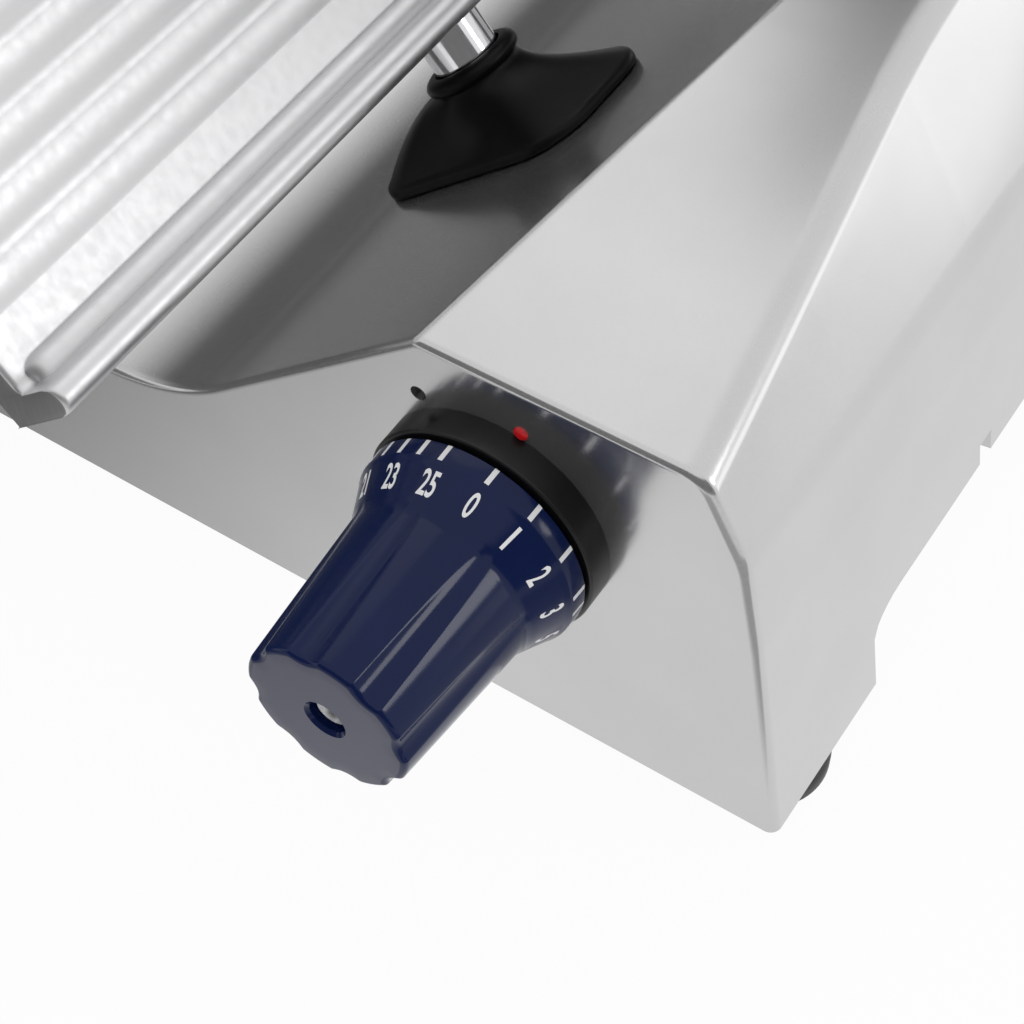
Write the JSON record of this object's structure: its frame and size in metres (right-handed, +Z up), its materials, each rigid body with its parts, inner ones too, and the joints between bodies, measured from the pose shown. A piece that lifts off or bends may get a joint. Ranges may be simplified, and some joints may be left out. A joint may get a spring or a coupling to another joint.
{
  "type": "electric food slicer",
  "caption": "Gravity-feed electric food slicer: tilted disc blade, sliding food carriage with pusher, ribbed gauge plate set by a front dial, motor and belt in a cast base.",
  "frame": {"origin": "centre of the object's footprint box, on the surface that the feet stand on", "axes": "+Z up, +Y from the operator's knob to the back along the carriage's travel, +X to the right along the front face"},
  "size_m": [0.365, 0.524, 0.3373],
  "materials": {
    "cast_aluminium": "polished, anodised",
    "anodised_plate": "anodised, satin",
    "sheet_steel": "satin",
    "blade_steel": "ground",
    "screw_steel": "plain",
    "bar_steel": "ground and plated",
    "machined_steel": "turned",
    "bronze": "turned",
    "motor_paint": "painted",
    "blue_plastic": "moulded",
    "black_plastic": "moulded",
    "white_plastic": "moulded",
    "rubber": "matte",
    "red_plastic": "moulded",
    "green_plastic": "moulded",
    "clear_plastic": "clear acrylic"
  },
  "bodies": {
    "base": {"base_casting": "cast_aluminium", "bottom_cover": "sheet_steel", "cover_screws": "screw_steel", "rubber_feet": "rubber", "foot_screws": "screw_steel", "dial_bezel": "black_plastic", "index_dot": "red_plastic", "knob_bush": "bronze", "gauge_boot": "rubber", "guide_rods": "bar_steel", "motor_can": "motor_paint", "motor_flange": "sheet_steel", "motor_screws": "screw_steel", "capacitor": "white_plastic", "blade_neck": "cast_aluminium", "neck_lid": "sheet_steel", "lid_screws": "screw_steel", "drive_belt": "rubber", "blade_bearings": "machined_steel", "blade_guard": "cast_aluminium", "blade_cover": "sheet_steel", "cover_tie_rod": "bar_steel", "cover_knob": "black_plastic", "slice_deflector": "sheet_steel", "carriage_rod": "bar_steel", "switch_panel": "black_plastic", "switch_box": "black_plastic", "cord_gland": "black_plastic"},
    "knob": {"thickness_knob": "blue_plastic", "knob_screw": "screw_steel", "knob_spindle": "bar_steel", "gauge_cam": "bronze"},
    "gauge": {"gauge_plate": "anodised_plate", "gauge_post": "bar_steel", "gauge_carrier": "cast_aluminium", "cam_follower": "bar_steel"},
    "blade_set": {"blade": "blade_steel", "blade_hub": "machined_steel", "blade_screws": "screw_steel", "blade_pulley": "machined_steel"},
    "rotor": {"motor_shaft": "bar_steel", "motor_pulley": "machined_steel"},
    "carriage": {"carriage_slider": "machined_steel", "slider_bushes": "bronze", "carriage_arm": "cast_aluminium", "food_plate": "anodised_plate", "push_fence": "cast_aluminium", "hand_guard": "clear_plastic", "carriage_handle": "black_plastic", "pusher_rod": "bar_steel"},
    "pusher": {"food_pusher": "sheet_steel", "pusher_grip": "black_plastic"},
    "on_key": {"on_button": "green_plastic"},
    "off_key": {"off_button": "red_plastic"}
  },
  "joints": [
    {"name": "gauge_slide", "type": "slide", "parent": "base", "child": "gauge", "axis": [-0.7431, 0, -0.6691], "range_m": [0, 0.025], "deforming": ["gauge_boot"]},
    {"name": "knob_turn", "type": "hinge", "parent": "base", "child": "knob", "pos_m": [0.08074, -0.198, 0.0802], "axis": [0, -1, 0], "range_deg": [0, 336]},
    {"name": "blade_spin", "type": "hinge", "parent": "base", "child": "blade_set", "pos_m": [-0.07563, 0.12, 0.20103], "axis": [0.7431, 0, 0.6691], "continuous": true},
    {"name": "motor_spin", "type": "hinge", "parent": "base", "child": "rotor", "pos_m": [0.02461, 0.12, 0.03292], "axis": [0.7431, 0, 0.6691], "continuous": true},
    {"name": "carriage_slide", "type": "slide", "parent": "base", "child": "carriage", "axis": [0, -1, 0], "range_m": [0, 0.26]},
    {"name": "pusher_slide", "type": "slide", "parent": "carriage", "child": "pusher", "axis": [0.7431, 0, 0.6691], "range_m": [0, 0.12]},
    {"name": "on_press", "type": "slide", "parent": "base", "child": "on_key", "axis": [1, 0, 0], "range_m": [0, 0.0025], "stiffness_N_per_m": 600},
    {"name": "off_press", "type": "slide", "parent": "base", "child": "off_key", "axis": [1, 0, 0], "range_m": [0, 0.0025], "stiffness_N_per_m": 600}
  ],
  "couplings": [
    {"joint": "knob_turn", "follows": "gauge_slide", "rad_per_m": 234.57},
    {"joint": "motor_spin", "follows": "blade_spin", "ratio": 3.5}
  ]
}
